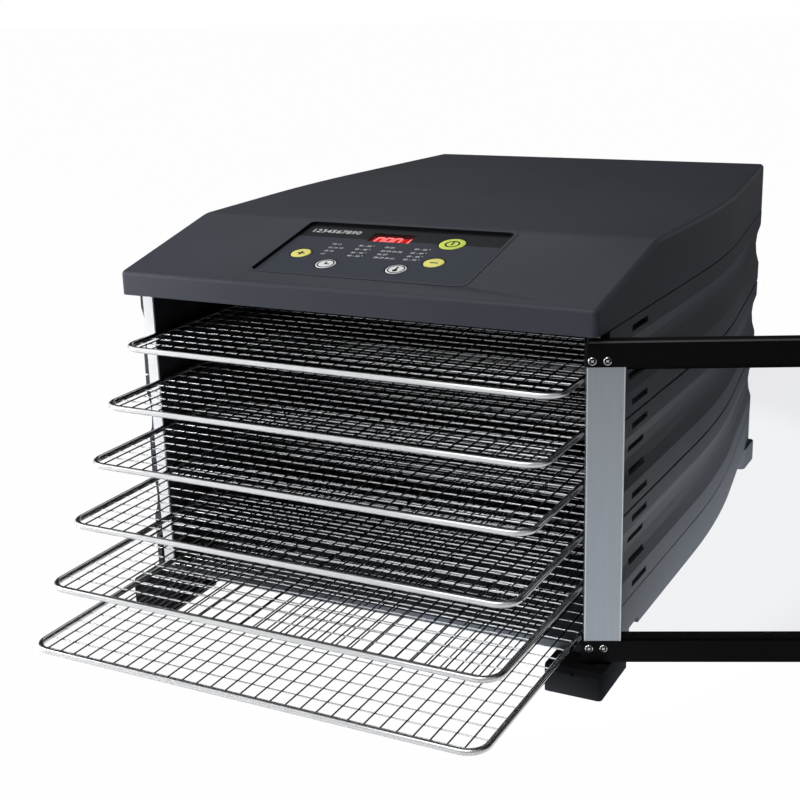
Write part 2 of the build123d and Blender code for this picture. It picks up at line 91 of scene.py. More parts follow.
class Value:
    """A shader socket that takes part in arithmetic."""

    def __init__(self, graph: "Graph", socket: bpy.types.NodeSocket) -> None:
        """Keep the graph and the socket that this value stands for."""
        self.graph = graph
        self.socket = socket

    def _math(self, operation: str, first: Number, second: Number) -> "Value":
        """Add one Math node.

        Args:
            operation: name of the Math operation.
            first: left-hand value.
            second: right-hand value.

        Returns:
            The result as a new value.
        """
        return self.graph.node(
            "ShaderNodeMath", {"operation": operation}, {0: first, 1: second}
        )

    def __add__(self, other: Number) -> "Value":
        """Sum of two values."""
        return self._math("ADD", self, other)

    def __radd__(self, other: Number) -> "Value":
        """Sum with the number on the left."""
        return self._math("ADD", other, self)

    def __sub__(self, other: Number) -> "Value":
        """Difference of two values."""
        return self._math("SUBTRACT", self, other)

    def __rsub__(self, other: Number) -> "Value":
        """Difference with the number on the left."""
        return self._math("SUBTRACT", other, self)

    def __mul__(self, other: Number) -> "Value":
        """Product of two values."""
        return self._math("MULTIPLY", self, other)

    def __rmul__(self, other: Number) -> "Value":
        """Product with the number on the left."""
        return self._math("MULTIPLY", other, self)

    def larger(self, other: Number) -> "Value":
        """The larger of two values."""
        return self._math("MAXIMUM", self, other)

    def between(self, low: float, high: float) -> "Value":
        """Smooth step from 0 at low to 1 at high."""
        return self.graph.node(
            "ShaderNodeMapRange",
            {"interpolation_type": "SMOOTHSTEP"},
            {"Value": self, "From Min": low, "From Max": high},
        )


class Graph:
    """The node tree of one material or world, with one method that adds any node."""

    def __init__(self, owner: Union[bpy.types.Material, bpy.types.World]) -> None:
        """Start from the owner's plain shader.

        Args:
            owner: new material or world.
        """
        owner.use_nodes = True
        self.owner = owner
        self.tree = owner.node_tree
        ends = ("OUTPUT_MATERIAL", "OUTPUT_WORLD")
        self.output = next(n for n in self.tree.nodes if n.type in ends)
        self.shader = self.output.inputs["Surface"].links[0].from_node

    @classmethod
    def of_material(cls, name: str) -> "Graph":
        """Graph of a new material."""
        return cls(bpy.data.materials.new(name))

    def node(
        self,
        kind: str,
        settings: dict[str, Any],
        inputs: dict[Union[int, str], Any],
        output: Union[int, str] = 0,
    ) -> Value:
        """Add a node, set it up and connect it.

        Args:
            kind: node type.
            settings: properties of the node.
            inputs: values or links for its sockets.
            output: which output to return.

        Returns:
            The chosen output as a value.
        """
        made = self.tree.nodes.new(kind)
        for key, value in settings.items():
            setattr(made, key, value)
        for key, value in inputs.items():
            self.feed(made.inputs[key], value)
        return Value(self, made.outputs[output])

    def feed(self, socket: bpy.types.NodeSocket, value: Any) -> None:
        """Link a value to a socket, or set the socket to a number or colour.

        Args:
            socket: input of a node.
            value: value, number or colour.
        """
        if isinstance(value, Value):
            self.tree.links.new(value.socket, socket)
        elif socket.type == "RGBA":
            socket.default_value = (*value, 1.0)
        else:
            socket.default_value = value

    def place(
        self, scale: Point = (1.0, 1.0, 1.0), shift: Point = (0.0, 0.0, 0.0)
    ) -> Value:
        """Object coordinates, scaled and moved.

        Args:
            scale: scale along each axis.
            shift: shift along each axis, in metres, after scaling.

        Returns:
            The coordinates as a value.
        """
        coords = self.node("ShaderNodeTexCoord", {}, {}, "Object")
        inputs = {"Vector": coords, "Location": shift, "Scale": scale}
        return self.node("ShaderNodeMapping", {}, inputs)

    def noise(
        self, scale: float, detail: float = 2.0, at: "Value | None" = None
    ) -> Value:
        """Cloudy noise between 0 and 1.

        Args:
            scale: waves per metre.
            detail: finer layers.
            at: coordinates, or none for object coordinates.

        Returns:
            The noise as a value.
        """
        inputs = {"Vector": at or self.place(), "Scale": scale, "Detail": detail}
        return self.node("ShaderNodeTexNoise", {}, inputs)

    def grain(self) -> Value:
        """Roughen the surface with the fine grain of moulded plastic.

        Returns:
            The grain as a value.
        """
        fine = self.noise(GRAIN)
        inputs = {"Strength": GRAIN_STRENGTH, "Distance": GRAIN_DEPTH, "Height": fine}
        self.dress(Normal=self.node("ShaderNodeBump", {}, inputs))
        return fine

    def blend(self, share: Value, first: Any, second: Any) -> Value:
        """Colour between two colours.

        Args:
            share: share of the second colour.
            first: first colour.
            second: second colour.

        Returns:
            The colour as a value.
        """
        inputs = {0: share, 6: first, 7: second}
        return self.node("ShaderNodeMix", {"data_type": "RGBA"}, inputs, 2)

    def tones(self, share: Value, colour: Colour, low: float, high: float) -> Value:
        """A colour that changes between two tones of itself.

        Args:
            share: share of the second tone.
            colour: the colour.
            low: factor of the first tone.
            high: factor of the second tone.

        Returns:
            The colour as a value.
        """
        return self.blend(share, shade(colour, low), shade(colour, high))

    def axis(self, at: Value, letter: str) -> Value:
        """One component of a vector."""
        return self.node("ShaderNodeSeparateXYZ", {}, {0: at}, letter)

    def length(self, at: Value) -> Value:
        """Length of a vector."""
        settings = {"operation": "LENGTH"}
        return self.node("ShaderNodeVectorMath", settings, {0: at}, "Value")

    def dress(self, **inputs: Any) -> None:
        """Set or link the shader's inputs, with _ for a space in a name."""
        for key, value in inputs.items():
            self.feed(self.shader.inputs[key.replace("_", " ")], value)

    def plain(self) -> Value:
        """The dressed shader as a value."""
        return Value(self, self.shader.outputs[0])

    def layer(self, share: Value, first: Value, second: Value) -> Value:
        """Mix two shaders by the share of the second."""
        return self.node("ShaderNodeMixShader", {}, {0: share, 1: first, 2: second})

    def show(self, shader: Value) -> None:
        """Send a shader to the output."""
        self.feed(self.output.inputs["Surface"], shader)


@dataclass(frozen=True)
class Look:
    """What every finish has: a name, a colour and a way to paint a material."""

    name: str
    colour: Colour

    def material(self) -> bpy.types.Material:
        """Make the material once.

        Returns:
            The material of this finish.
        """
        name = self.name + "_finish"
        found = bpy.data.materials.get(name)
        if found is None:
            graph = Graph.of_material(name)
            self.paint(graph)
            found = graph.owner
        return found

    def paint(self, graph: Graph) -> None:
        """Set up the nodes, which each kind of finish does in its own way."""
        raise NotImplementedError


@dataclass(frozen=True)
class MouldedPlastic(Look):
    """Moulded plastic with a fine even grain."""

    roughness: float = 0.5
    specular: float = 0.35
    tone: float = 0.10
    cloud: float = 9.0
    cloud_detail: float = 3.0
    cloud_share: float = 0.6
    cloud_range: Floats = (0.3, 0.7)
    rough_spread: float = 0.10

    def paint(self, graph: Graph) -> None:
        """Mottle the colour faintly and add the grain.

        Args:
            graph: graph of the new material.
        """
        cloud = graph.noise(self.cloud, self.cloud_detail)
        fine = graph.grain()
        mottle = cloud * self.cloud_share + fine * (1 - self.cloud_share)
        share = mottle.between(*self.cloud_range)
        graph.dress(
            Base_Color=graph.tones(share, self.colour, 1 - self.tone, 1 + self.tone),
            Roughness=self.roughness + (fine - 0.5) * self.rough_spread,
            Specular_IOR_Level=self.specular,
        )


@dataclass(frozen=True)
class SatinMetal(Look):
    """Brushed metal with fine upright streaks."""

    roughness: float = 0.36
    metallic: float = 0.9
    streak: float = 0.10
    streak_scale: Point = (900.0, 900.0, 14.0)
    streak_detail: float = 3.0
    rough_spread: float = 0.14

    def paint(self, graph: Graph) -> None:
        """Streak the colour and the roughness.

        Args:
            graph: graph of the new material.
        """
        at = graph.place(scale=self.streak_scale)
        streaks = graph.noise(1.0, self.streak_detail, at)
        low, high = 1 - self.streak, 1 + self.streak
        graph.dress(
            Base_Color=graph.tones(streaks, self.colour, low, high),
            Roughness=self.roughness + (streaks - 0.5) * self.rough_spread,
            Metallic=self.metallic,
        )


@dataclass(frozen=True)
class BrightMetal(Look):
    """Polished metal with painted reflection and shade: bright where it faces front or
    back, painted darker where it faces away from them and below.

    Side and under are factors of the colour, painted shade away from front and below,
    and metal and side_metal say how metallic the front and the sides are.
    """

    roughness: float
    side: float = 1.0
    under: float = 1.0
    metal: float = 1.0
    side_metal: float = 1.0
    front_range: Floats = (0.06, 0.40)
    lifted_range: Floats = (-0.90, -0.42)
    haze: float = 260.0
    haze_tones: Floats = (0.97, 1.02)
    haze_rough: float = 0.03

    def paint(self, graph: Graph) -> None:
        """Paint shade and reflection into the colour by the way it faces, and add a
        faint haze.

        Args:
            graph: graph of the new material.
        """
        normal = graph.node("ShaderNodeTexCoord", {}, {}, "Normal")
        facing = graph.axis(normal, "Y")
        front = (facing * facing).between(*self.front_range)
        lifted = graph.axis(normal, "Z").between(*self.lifted_range)
        haze = graph.noise(self.haze)
        clouded = graph.tones(haze, self.colour, *self.haze_tones)
        # painted shade: the colour times under where the surface faces downwards
        lit = graph.blend(lifted, shade(self.colour, self.under), clouded)
        gain = self.metal - self.side_metal
        # painted shade and reflection: the colour times side away from front and back
        graph.dress(
            Base_Color=graph.blend(front, shade(self.colour, self.side), lit),
            Metallic=self.side_metal + front * gain if gain else self.metal,
            Roughness=self.roughness + haze * self.haze_rough,
        )


@dataclass(frozen=True)
class ClearPane(Look):
    """Clear pane that shows what is behind it, with a gloss that grows at a slant."""

    through: Colour
    haze: float
    gloss: float
    index: float = 1.45
    smear: float = 5.0
    smear_tones: Floats = (0.92, 1.0)
    roughness: float = 0.03
    rough_spread: float = 0.02

    def paint(self, graph: Graph) -> None:
        """Lay a faintly smeared gloss over a clear tint.

        Args:
            graph: graph of the new material.
        """
        smear = graph.noise(self.smear)
        graph.dress(
            Base_Color=graph.tones(smear, self.colour, *self.smear_tones),
            Roughness=self.roughness + smear * self.rough_spread,
        )
        clear = graph.node("ShaderNodeBsdfTransparent", {}, {"Color": self.through})
        slant = graph.node("ShaderNodeFresnel", {}, {"IOR": self.index})
        share = slant * self.gloss + (self.haze + smear * self.haze)
        graph.show(graph.layer(share, clear, graph.plain()))


@dataclass(frozen=True)
class PanelPrint(Look):
    """Printed panel plate: slate grey with a darker strip along its far edge."""

    strip: Colour
    strip_from: float
    strip_fade: float = 0.15 * MM
    tones: Floats = (0.94, 1.06)
    specular: float = 0.2
    roughness: float = 0.56
    strip_polish: float = 0.04
    rough_spread: float = 0.05

    def paint(self, graph: Graph) -> None:
        """Print the strip by the place along the hood's slope.

        Args:
            graph: graph of the new material.
        """
        at = graph.place(shift=tuple(-c for c in HOOD_EDGE))
        level, height = graph.axis(at, "Y"), graph.axis(at, "Z")
        along = level * cos(HOOD_SLOPE) + height * sin(HOOD_SLOPE)
        fade = self.strip_fade
        dark = along.between(self.strip_from - fade, self.strip_from + fade)
        fine = graph.grain()
        slate = graph.tones(fine, self.colour, *self.tones)
        polish = self.roughness - dark * self.strip_polish
        graph.dress(
            Base_Color=graph.blend(dark, slate, self.strip),
            Roughness=polish + (fine - 0.5) * self.rough_spread,
            Specular_IOR_Level=self.specular,
        )


@dataclass(frozen=True)
class Glow(Look):
    """Lit display surface with a brighter middle."""

    strength: float
    edge: float
    cloud: float = 160.0
    cloud_range: Floats = (0.3, 0.7)
    unlit_tones: Floats = (0.2, 0.3)
    roughness: float = 0.35
    rough_spread: float = 0.05

    def paint(self, graph: Graph) -> None:
        """Let the light vary a little over the surface.

        Args:
            graph: graph of the new material.
        """
        cloud = graph.noise(self.cloud)
        share = cloud.between(*self.cloud_range)
        graph.dress(
            Base_Color=graph.tones(cloud, self.colour, *self.unlit_tones),
            Emission_Color=graph.tones(share, self.colour, self.edge, 1.0),
            Emission_Strength=self.strength,
            Roughness=self.roughness + cloud * self.rough_spread,
        )


class Finish(Enum):
    """Finishes of the dehydrator's pieces, each after its slot in the record."""

    CHARCOAL = "charcoal_plastic", MouldedPlastic(
        "charcoal_plastic", (0.0485, 0.0535, 0.068), specular=0.22
    )
    SIDE_CHARCOAL = "charcoal_plastic", MouldedPlastic(
        "side_charcoal_plastic", (0.046, 0.050, 0.061), roughness=0.56, specular=0.22
    )
    BLACK = "black_plastic", MouldedPlastic(
        "black_plastic", (0.0058, 0.0058, 0.0063), specular=0.04, tone=0.15
    )
    FOOT_BLACK = "black_plastic", MouldedPlastic(
        "foot_plastic", (0.0102, 0.0104, 0.0117), roughness=0.6, specular=0.0
    )
    # painted highlight along the top edge of the door's upper rail
    RAIL_HIGHLIGHT = "black_plastic", MouldedPlastic(
        "rail_highlight_edge", (0.085, 0.085, 0.088), specular=0.2
    )
    # dark ink for printed signs, and painted shade for the recess lining, the line
    # outside the rim, the rings round the buttons and the screw sockets
    DARK_PRINT_AND_SHADE = "black_plastic", MouldedPlastic(
        "dark_print_and_shade", (0.006, 0.006, 0.007), roughness=0.6, specular=0.06
    )
    LINER = "liner_plastic", MouldedPlastic(
        "liner_plastic", (0.028, 0.029, 0.032), specular=0.2
    )
    FAN = "fan_plastic", MouldedPlastic(
        "fan_plastic", (0.03, 0.03, 0.032), roughness=0.45
    )
    BOARD = "board", MouldedPlastic("board", (0.02, 0.09, 0.04))
    YELLOW = "yellow_button", MouldedPlastic(
        "yellow_button", (0.97, 0.91, 0.25), roughness=0.45, specular=0.2, tone=0.05
    )
    LIME = "lime_button", MouldedPlastic(
        "lime_button", (0.77, 0.89, 0.15), roughness=0.45, specular=0.2, tone=0.05
    )
    WHITE = "white_button", MouldedPlastic(
        "white_button", (0.92, 0.93, 0.94), roughness=0.45, specular=0.2, tone=0.03
    )
    WHITE_INK = "white_button", MouldedPlastic(
        "white_ink", (0.80, 0.81, 0.82), specular=0.2, tone=0.03
    )
    SATIN = "satin_silver", SatinMetal("satin_silver", (0.33, 0.36, 0.40))
    # painted highlight along the edges of the door's stiles
    STILE_HIGHLIGHT = "satin_silver", SatinMetal("painted_stile_highlight", (0.66, 0.69, 0.73))
    JAMB = "satin_silver", SatinMetal(
        "jamb_silver", (0.90, 0.91, 0.93), roughness=0.35, metallic=0.25, streak=0.03
    )
    PLAIN_STEEL = "plain_steel", SatinMetal(
        "plain_steel", (0.45, 0.46, 0.47), roughness=0.4
    )
    SCREW = "pin_steel", BrightMetal("screw_steel", (0.86, 0.87, 0.89), roughness=0.22)
    PIN = "pin_steel", MouldedPlastic(
        "pin_black", (0.012, 0.012, 0.013), roughness=0.45, specular=0.1
    )
    # Wire finishes: side and under paint shade and reflection into the colour; the long
    # and cross wires are one wire with different painted shade.
    CHROME = "chrome_wire", BrightMetal(
        "chrome_rod",
        (0.96, 0.965, 0.975),
        roughness=0.08,
        side=0.50,
        under=0.22,
        metal=0.26,
    )
    ROD_JOINT = "chrome_wire", BrightMetal(
        "rod_joint", (0.55, 0.56, 0.57), roughness=0.25
    )
    CROSS_CHROME = "chrome_wire", BrightMetal(
        "chrome_cross_wire",
        (0.80, 0.82, 0.85),
        roughness=0.20,
        side=0.62,
        under=0.7,
        metal=0.8,
        side_metal=0.8,
    )
    LONG_CHROME = "chrome_wire", BrightMetal(
        "chrome_long_wire", (0.80, 0.82, 0.85), roughness=0.20, side=0.04, under=0.5
    )
    GLASS = "clear_glass", ClearPane(
        "clear_glass",
        (0.74, 0.76, 0.79),
        through=(0.908, 0.910, 0.916),
        haze=0.002,
        gloss=0.08,
    )
    RED_WINDOW = "red_window", ClearPane(
        "red_window",
        (0.05, 0.001, 0.002),
        through=(0.95, 0.35, 0.35),
        haze=0.03,
        gloss=0.25,
    )
    PANEL = "panel_print", PanelPrint(
        "panel_print",
        (0.043, 0.050, 0.068),
        strip=(0.006, 0.0075, 0.0105),
        strip_from=80.6 * MM,
    )
    RED_FIELD = "display_body", Glow(
        "display_field", (0.80, 0.0, 0.012), strength=1.0, edge=0.5
    )
    RED_DIGIT = "display_body", Glow(
        "display_digit", (1.0, 0.92, 0.90), strength=3.4, edge=0.95
    )

    def __init__(self, slot: str, look: Look) -> None:
        """Keep the slot and the look of this finish."""
        self.slot = slot
        self.look = look


def vertices(geom: Iterable[Any]) -> list[bmesh.types.BMVert]:
    """The vertices among the results of an operator."""
    return [g for g in geom if isinstance(g, bmesh.types.BMVert)]


def edges(geom: Iterable[Any]) -> list[bmesh.types.BMEdge]:
    """The edges among the results of an operator."""
    return [g for g in geom if isinstance(g, bmesh.types.BMEdge)]


def add_object(name: str, data: bpy.types.ID) -> bpy.types.Object:
    """Make an object and link it to the scene.

    Args:
        name: name of the object.
        data: its mesh, lamp or camera.

    Returns:
        The object.
    """
    made = bpy.data.objects.new(name, data)
    bpy.context.scene.collection.objects.link(made)
    return made


class Piece:
    """One piece of the scene while it is modelled, in metres."""

    def __init__(self, name: str) -> None:
        """Start an empty piece, with the name of the finished object."""
        self.name = name
        self.bm = bmesh.new()

    def block(self, size: Point, centre: Point, turn: Matrix = UPRIGHT) -> None:
        """Add a block.

        Args:
            size: full sizes.
            centre: centre of the block.
            turn: frame in which size and centre are given.
        """
        shape = Matrix.Translation(centre) @ Matrix.Diagonal((*size, 1.0))
        bmesh.ops.create_cube(self.bm, size=1.0, matrix=turn @ shape)

    def cylinder(self, radius: float, depth: float, sides: int, middle: Matrix) -> None:
        """Add a cylinder along the Z axis of a frame.

        Args:
            radius: its radius.
            depth: its length.
            sides: sides of its section.
            middle: frame of its middle.
        """
        bmesh.ops.create_cone(
            self.bm,
            cap_ends=True,
            segments=sides,
            radius1=radius,
            radius2=radius,
            depth=depth,
            matrix=middle,
        )

    def rod(self, start: Vector, end: Vector, radius: float, sides: int = 8) -> None:
        """Add a straight round rod.

        Args:
            start: centre of one end.
            end: centre of the other end.
            radius: radius of the rod.
            sides: sides of its section.
        """
        along = end - start
        turn = along.to_track_quat("Z", "Y").to_matrix().to_4x4()
        middle = Matrix.Translation((start + end) / 2) @ turn
        self.cylinder(radius, along.length, sides, middle)

    def spun(
        self, geom: list[Any], centre: Sequence[float], angle: float, steps: int
    ) -> list[Any]:
        """Spin an outline about an upright axis.

        Args:
            geom: its points and edges.
            centre: point on the axis.
            angle: angle of the spin.
            steps: steps of the spin.

        Returns:
            The outline at the end of the spin.
        """
        return bmesh.ops.spin(
            self.bm,
            geom=geom,
            cent=centre,
            axis=(0, 0, 1),
            dvec=(0, 0, 0),
            angle=angle,
            steps=steps,
            use_merge=angle == FULL_TURN,
            use_duplicate=False,
        )["geom_last"]

    def rounded_loop(
        self,
        width: float,
        depth: float,
        corner: float,
        radius: float,
        centre: Vector,
        sides: int = 14,
        bend_steps: int = 8,
    ) -> None:
        """Add a closed rod bent to a rectangle with round corners, lying flat.

        Args:
            width: width between rod centres.
            depth: depth between rod centres.
            corner: bend radius at the rod's centre.
            radius: radius of the rod.
            centre: centre of the rectangle.
            sides: sides of the rod's section.
            bend_steps: steps of each bend.
        """
        half_x, half_y = width / 2 - corner, depth / 2 - corner
        start = centre + Vector((width / 2, -half_y, 0))
        ring = bmesh.ops.create_circle(
            self.bm,
            cap_ends=False,
            segments=sides,
            radius=radius,
            matrix=Matrix.Translation(start) @ Matrix.Rotation(pi / 2, 4, "X"),
        )["verts"]
        front = list(dict.fromkeys(e for v in ring for e in v.link_edges))
        straights = (
            (Vector((0, 2 * half_y, 0)), Vector((half_x, half_y, 0))),
            (Vector((-2 * half_x, 0, 0)), Vector((-half_x, half_y, 0))),
            (Vector((0, -2 * half_y, 0)), Vector((-half_x, -half_y, 0))),
            (Vector((2 * half_x, 0, 0)), Vector((half_x, -half_y, 0))),
        )
        for straight, pivot in straights:
            grown = bmesh.ops.extrude_edge_only(self.bm, edges=front)["geom"]
            ends = vertices(grown)
            bmesh.ops.translate(self.bm, vec=straight, verts=ends)
            front = [e for e in edges(grown) if all(v in ends for v in e.verts)]
            bend = self.spun(ends + front, centre + pivot, pi / 2, bend_steps)
            front = edges(bend)
        bmesh.ops.remove_doubles(self.bm, verts=self.bm.verts[:], dist=BEND_WELD)

    def turned(self, profile: Sequence[Floats], place: Matrix, steps: int) -> None:
        """Add a piece turned about the Z axis of a frame.

        Args:
            profile: radius and height along the outline.
            place: frame of the turned piece.
            steps: steps of the full turn.
        """
        before = set(self.bm.verts)
        points = [self.bm.verts.new((r, 0.0, h)) for r, h in profile]
        lines = [self.bm.edges.new(pair) for pair in zip(points, points[1:])]
        self.spun(points + lines, (0, 0, 0), FULL_TURN, steps)
        fresh = [v for v in self.bm.verts if v not in before]
        bmesh.ops.remove_doubles(self.bm, verts=fresh, dist=WELD)
        fresh = [v for v in self.bm.verts if v not in before]
        bmesh.ops.transform(self.bm, matrix=place, verts=fresh)

    def disc(
        self, radius: float, height: float, place: Matrix, sides: int = 40
    ) -> None:
        """Add a thin disc.

        Args:
            radius: its radius.
            height: its thickness.
            place: frame of its underside.
            sides: sides of the outline.
        """
        middle = place @ Matrix.Translation((0, 0, height / 2))
        self.cylinder(radius, height, sides, middle)

    def ring(
        self, radius: float, inner: float, height: float, place: Matrix, sides: int = 40
    ) -> None:
        """Add a thin flat ring.

        Args:
            radius: outer radius.
            inner: inner radius.
            height: its thickness.
            place: frame of its underside.
            sides: sides of the outline.
        """
        inside = ((inner, 0.0), (inner, height))
        outside = ((radius, height), (radius, 0.0))
        self.turned((*inside, *outside, inside[0]), place, sides)

    def numerals(self, words: str, height: float, place: Matrix) -> None:
        """Add plain printed numerals.

        Args:
            words: the numerals.
            height: height of a numeral.
            place: frame of the start of the line.
        """
        curve = bpy.data.curves.new(self.name + "_numerals", "FONT")
        curve.body = words
        curve.size = height / NUMERAL_SHARE
        curve.align_x = "LEFT"
        curve.align_y = "CENTER"
        curve.offset = NUMERAL_WEIGHT
        curve.extrude = NUMERAL_RISE / 2
        curve.resolution_u = 2
        holder = bpy.data.objects.new(self.name + "_numerals", curve)
        flat = bpy.data.meshes.new_from_object(holder)
        flat.transform(place @ Matrix.Translation((0, 0, NUMERAL_RISE / 2)))
        self.bm.from_mesh(flat)
        bpy.data.objects.remove(holder)
        bpy.data.curves.remove(curve)
        bpy.data.meshes.remove(flat)

    def finish(
        self,
        body: str,
        finish: Finish,
        smooth: float = 40.0,
        stands_for: Iterable[str] = (),
    ) -> None:
        """Turn the piece into an object that rides a body.

        Args:
            body: body that carries the piece.
            finish: its finish.
            smooth: edges sharper than this angle stay sharp, in degrees.
            stands_for: nodes that the piece replaces.
        """
        bmesh.ops.recalc_face_normals(self.bm, faces=self.bm.faces[:])
        mesh = bpy.data.meshes.new(self.name)
        self.bm.to_mesh(mesh)
        self.bm.free()
        mesh.shade_smooth()
        mesh.set_sharp_from_angle(angle=radians(smooth))
        mesh.materials.append(finish.look.material())
        made = add_object(self.name, mesh)
        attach(made, body)
        if stands_for:
            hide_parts(*stands_for)
        even = made.modifiers.new("even_shading", "WEIGHTED_NORMAL")
        even.keep_sharp = True
        even.weight = 100
        log.info("%s rides %s: %d faces", self.name, body, len(mesh.polygons))


def skin(node: str, body: str, finish: Finish, smooth: float = 28.0) -> None:
    """Make the shown skin of a node: its own solid with smooth shading.

    Args:
        node: the node.
        body: body that carries it.
        finish: its finish.
        smooth: edges sharper than this angle stay sharp, in degrees.
    """
    piece = Piece(node + "_skin")
    piece.bm.from_mesh(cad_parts[node].data)
    bmesh.ops.remove_doubles(piece.bm, verts=piece.bm.verts[:], dist=WELD)
    piece.finish(body, finish, smooth, (node,))


def paint_node(node: str, finish: Finish) -> None:
    """Give a node its finish as it is.

    Args:
        node: the node.
        finish: its finish.
    """
    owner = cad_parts[node]
    owner.data.materials.clear()
    owner.data.materials.append(finish.look.material())
    log.info("%s painted %s", node, finish.look.name)


@dataclass
class Cabinet:
    """Hood, side bands, base, feet, liner and what stands behind the chamber."""

    body: str = "cabinet"
    bands: tuple[str, ...] = ("top", "middle", "bottom")
    band_smooth: float = 14.0
    sides: tuple[str, ...] = ("right", "left")
    # thin dark sheet behind the back cover's slots, standing for the shade inside
    shade_sheet: Floats = mm(192.0, 0.4, 117.0)
    shade_sheet_height: float = 130.0 * MM

    def build(self) -> None:
        """Skin the outer mouldings and paint the inner pieces."""
        self.rear_shade_sheet()
        skin("hood", self.body, Finish.CHARCOAL)
        skin("base", self.body, Finish.SIDE_CHARCOAL)
        for side in self.sides:
            for band in self.bands:
                node = f"side_band_{side}_{band}"
                skin(node, self.body, Finish.SIDE_CHARCOAL, self.band_smooth)
            skin(f"foot_front_{side}", self.body, Finish.FOOT_BLACK)
            skin(f"foot_rear_{side}", self.body, Finish.SIDE_CHARCOAL)
            paint_node(f"jamb_strip_{side}", Finish.JAMB)
            paint_node(f"liner_{side}", Finish.LINER)
            paint_node(f"runners_{side}", Finish.LINER)
        paint_node("chamber_ceiling", Finish.LINER)
        paint_node("fan_baffle", Finish.LINER)
        paint_node("rear_cover", Finish.SIDE_CHARCOAL)
        paint_node("motor_bracket", Finish.PLAIN_STEEL)
        skin("fan_motor", self.body, Finish.PLAIN_STEEL)
        skin("heater_ring", self.body, Finish.PLAIN_STEEL)
        skin("fan_rotor", "fan", Finish.FAN)

    def rear_shade_sheet(self) -> None:
        """Set a fine dark sheet inside the back cover's slots, which stands for the
        shade behind them.
        """
        low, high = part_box("rear_cover")
        piece = Piece("rear_shade_sheet")
        piece.block(self.shade_sheet, (0.0, (low.y + high.y) / 2, self.shade_sheet_height))
        piece.finish(self.body, Finish.LINER)


@dataclass(frozen=True)
class Border:
    """A rounded border round the panel.

    It grows this far outside the recess, its wall is this wide, and it stands from low
    to high above the hood's slope.
    """

    name: str
    grow: float
    wall: float
    low: float
    high: float
    finish: Finish


@dataclass(frozen=True)
class Button:
    """A button's place, width and finish, and the sign that is printed on its cap.

    The ring has an outer and an inner radius, each bar a width, a height and a place
    across and up, and the dot a radius and a place up.
    """

    name: str
    across: float
    up: float
    width: float
    finish: Finish
    ring: Floats = ()
    bars: tuple[Floats, ...] = ()
    dot: Floats = ()

    def sign(self, piece: Piece, top: Matrix, ink: float) -> None:
        """Print the sign.

        Args:
            piece: piece that takes the print.
            top: frame of the middle of the cap.
            ink: thickness of the print.
        """
        if self.ring:
            piece.ring(*self.ring, ink, top)
        for width, height, across, up in self.bars:
            piece.block((width, height, ink), (across, up, ink / 2), top)
        if self.dot:
            radius, up = self.dot
            piece.disc(radius, ink, top @ Matrix.Translation((0, up, 0)))


@dataclass(frozen=True)
class Column:
    """A column of the panel's table: labels, with ranges of values beside them."""

    label_at: float
    value_at: float
    first: int
    labels: tuple[str, ...]


